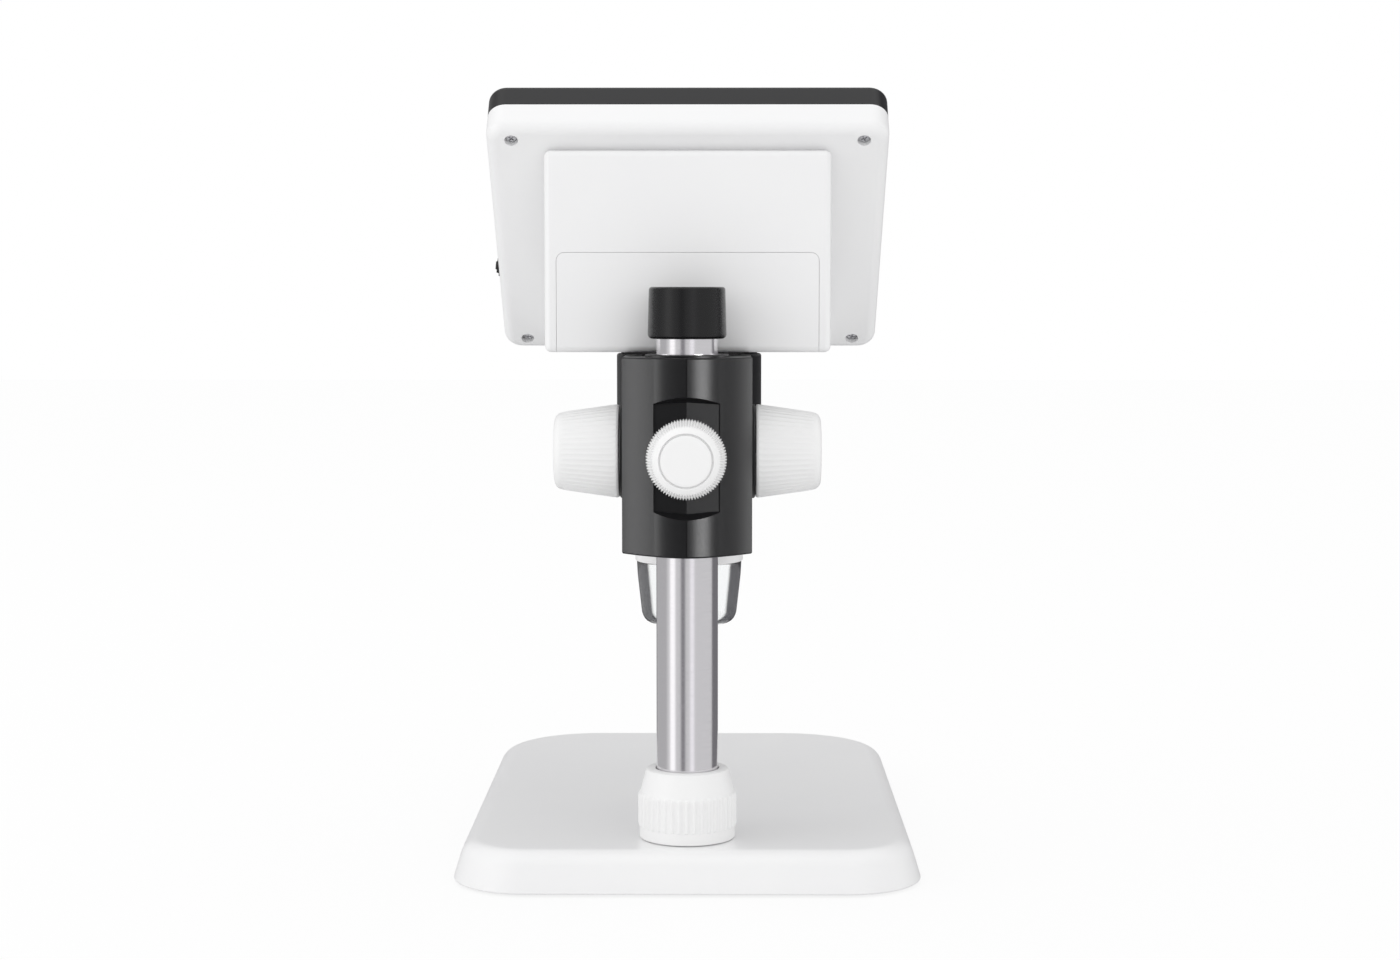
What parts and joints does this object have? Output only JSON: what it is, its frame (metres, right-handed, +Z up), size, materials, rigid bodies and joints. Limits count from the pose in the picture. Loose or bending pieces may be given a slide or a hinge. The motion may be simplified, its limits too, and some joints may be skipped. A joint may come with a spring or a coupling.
{
  "type": "lcd digital microscope",
  "caption": "Desktop digital microscope: a tilted flat screen head on a camera barrel, held by a rack-and-pinion carriage on a round steel column over a weighted base plate",
  "frame": {"origin": "middle of the object's footprint, on the surface that it stands on", "axes": "+Z up along the column, -Y towards the viewer of the screen, +X to that viewer's right"},
  "size_m": [0.1456, 0.213, 0.2464],
  "materials": {
    "white_case": "satin",
    "white_knob": "satin",
    "black_case": "satin",
    "black_satin": "satin",
    "column_steel": "bright drawn",
    "rack_steel": "milled",
    "gear_brass": "machined",
    "bush_brass": "machined",
    "screw_steel": "zinc plated",
    "shaft_steel": "ground",
    "ballast_iron": "raw",
    "foot_rubber": "matt",
    "barrel_aluminium": "black anodised",
    "clear_plastic": "clear",
    "screen_glass": "polished",
    "lens_glass": "coated",
    "lcd_black": "glossy",
    "circuit_board": "solder mask",
    "led_white": "clear dome",
    "sensor_black": "glossy",
    "ribbon_amber": "satin",
    "battery_sleeve": "shrink sleeve",
    "contact_nickel": "nickel plated",
    "socket_steel": "tinned",
    "key_grey": "satin",
    "wheel_black": "satin"
  },
  "bodies": {
    "stand": {"base_shell": "white_case", "base_plate": "black_satin", "ballast_plate": "ballast_iron", "rubber_feet": "foot_rubber", "base_screws": "screw_steel", "column_spigot": "white_case", "column_tube": "column_steel", "column_plug": "screw_steel", "column_bolt": "screw_steel", "gear_rack": "rack_steel", "top_cap": "black_satin"},
    "collar": {"collar_nut": "white_knob"},
    "carriage": {"carriage_body": "black_case", "shaft_bushes": "bush_brass", "lock_insert": "bush_brass", "barrel_ring": "black_case", "ring_screws": "screw_steel"},
    "pinion": {"pinion_shaft": "shaft_steel", "pinion_gear": "gear_brass", "focus_knob_left": "white_knob", "focus_knob_right": "white_knob", "knob_screws": "screw_steel"},
    "lock": {"lock_knob": "white_knob", "lock_screw": "shaft_steel"},
    "liner": {"ring_liner": "black_satin"},
    "head": {"head_shell": "white_case", "front_bezel": "black_case", "screen_glass": "screen_glass", "lcd_panel": "lcd_black", "lcd_frame": "socket_steel", "main_board": "circuit_board", "button_board": "circuit_board", "button_switches": "socket_steel", "battery_tray": "black_satin", "battery_cell": "battery_sleeve", "battery_contacts": "contact_nickel", "battery_cover": "white_case", "case_screws": "screw_steel", "usb_socket": "socket_steel", "card_socket": "socket_steel", "dimmer_pot": "sensor_black", "barrel_tube": "barrel_aluminium", "sensor_board": "circuit_board", "image_sensor": "sensor_black", "sensor_ribbon": "ribbon_amber", "led_board": "circuit_board", "leds": "led_white", "shield_lip": "white_case", "clear_shield": "clear_plastic"},
    "focus_collar": {"focus_ring": "black_case"},
    "lens": {"lens_cell": "barrel_aluminium", "lens_elements": "lens_glass"},
    "dimmer": {"dimmer_wheel": "wheel_black"},
    "key_1": {"button_1": "key_grey"},
    "key_2": {"button_2": "key_grey"},
    "key_3": {"button_3": "key_grey"},
    "key_4": {"button_4": "key_grey"},
    "key_5": {"button_5": "key_grey"},
    "key_6": {"button_6": "key_grey"},
    "key_7": {"button_7": "key_grey"}
  },
  "joints": [
    {"name": "collar_nut_turn", "type": "hinge", "parent": "stand", "child": "collar", "pos_m": [0, 0.075, 0.02], "axis": [0, 0, 1], "range_deg": [0, 180]},
    {"name": "carriage_slide", "type": "slide", "parent": "stand", "child": "carriage", "axis": [0, 0, 1], "range_m": [-0.055, 0.0045]},
    {"name": "pinion_turn", "type": "hinge", "parent": "carriage", "child": "pinion", "pos_m": [0, 0.0599, 0.1325], "axis": [1, 0, 0], "range_deg": [-60, 660]},
    {"name": "lock_turn", "type": "hinge", "parent": "carriage", "child": "lock", "pos_m": [0, 0.1, 0.1325], "axis": [0, 1, 0], "range_deg": [-135, 225]},
    {"name": "head_swivel", "type": "hinge", "parent": "carriage", "child": "liner", "pos_m": [0, 0.0158, 0.145], "axis": [0, 0, 1], "range_deg": [-12, 12]},
    {"name": "head_lift", "type": "slide", "parent": "liner", "child": "head", "axis": [0, 0, 1], "range_m": [0, 0.095]},
    {"name": "focus_turn", "type": "hinge", "parent": "head", "child": "focus_collar", "pos_m": [0, 0.0158, 0.1115], "axis": [0, 0, 1], "range_deg": [0, 270]},
    {"name": "lens_travel", "type": "slide", "parent": "head", "child": "lens", "axis": [0, 0, 1], "range_m": [0, 0.0041]},
    {"name": "dimmer_turn", "type": "hinge", "parent": "head", "child": "dimmer", "pos_m": [0.0577, 0.01286, 0.19038], "axis": [0, -0.7071, 0.7071], "range_deg": [-135, 135]},
    {"name": "key_1_press", "type": "slide", "parent": "head", "child": "key_1", "axis": [0, 0.7071, -0.7071], "range_m": [0, 0.0005], "stiffness_N_per_m": 600, "springref_m": -0.0005},
    {"name": "key_2_press", "type": "slide", "parent": "head", "child": "key_2", "axis": [0, 0.7071, -0.7071], "range_m": [0, 0.0005], "stiffness_N_per_m": 600, "springref_m": -0.0005},
    {"name": "key_3_press", "type": "slide", "parent": "head", "child": "key_3", "axis": [0, 0.7071, -0.7071], "range_m": [0, 0.0005], "stiffness_N_per_m": 600, "springref_m": -0.0005},
    {"name": "key_4_press", "type": "slide", "parent": "head", "child": "key_4", "axis": [0, 0.7071, -0.7071], "range_m": [0, 0.0005], "stiffness_N_per_m": 600, "springref_m": -0.0005},
    {"name": "key_5_press", "type": "slide", "parent": "head", "child": "key_5", "axis": [0, 0.7071, -0.7071], "range_m": [0, 0.0005], "stiffness_N_per_m": 600, "springref_m": -0.0005},
    {"name": "key_6_press", "type": "slide", "parent": "head", "child": "key_6", "axis": [0, 0.7071, -0.7071], "range_m": [0, 0.0005], "stiffness_N_per_m": 600, "springref_m": -0.0005},
    {"name": "key_7_press", "type": "slide", "parent": "head", "child": "key_7", "axis": [0, 0.7071, -0.7071], "range_m": [0, 0.0005], "stiffness_N_per_m": 600, "springref_m": -0.0005}
  ],
  "couplings": [
    {"joint": "pinion_turn", "follows": "carriage_slide", "rad_per_m": -208.33},
    {"joint": "lens_travel", "follows": "focus_turn", "m_per_rad": 0.00084883}
  ]
}
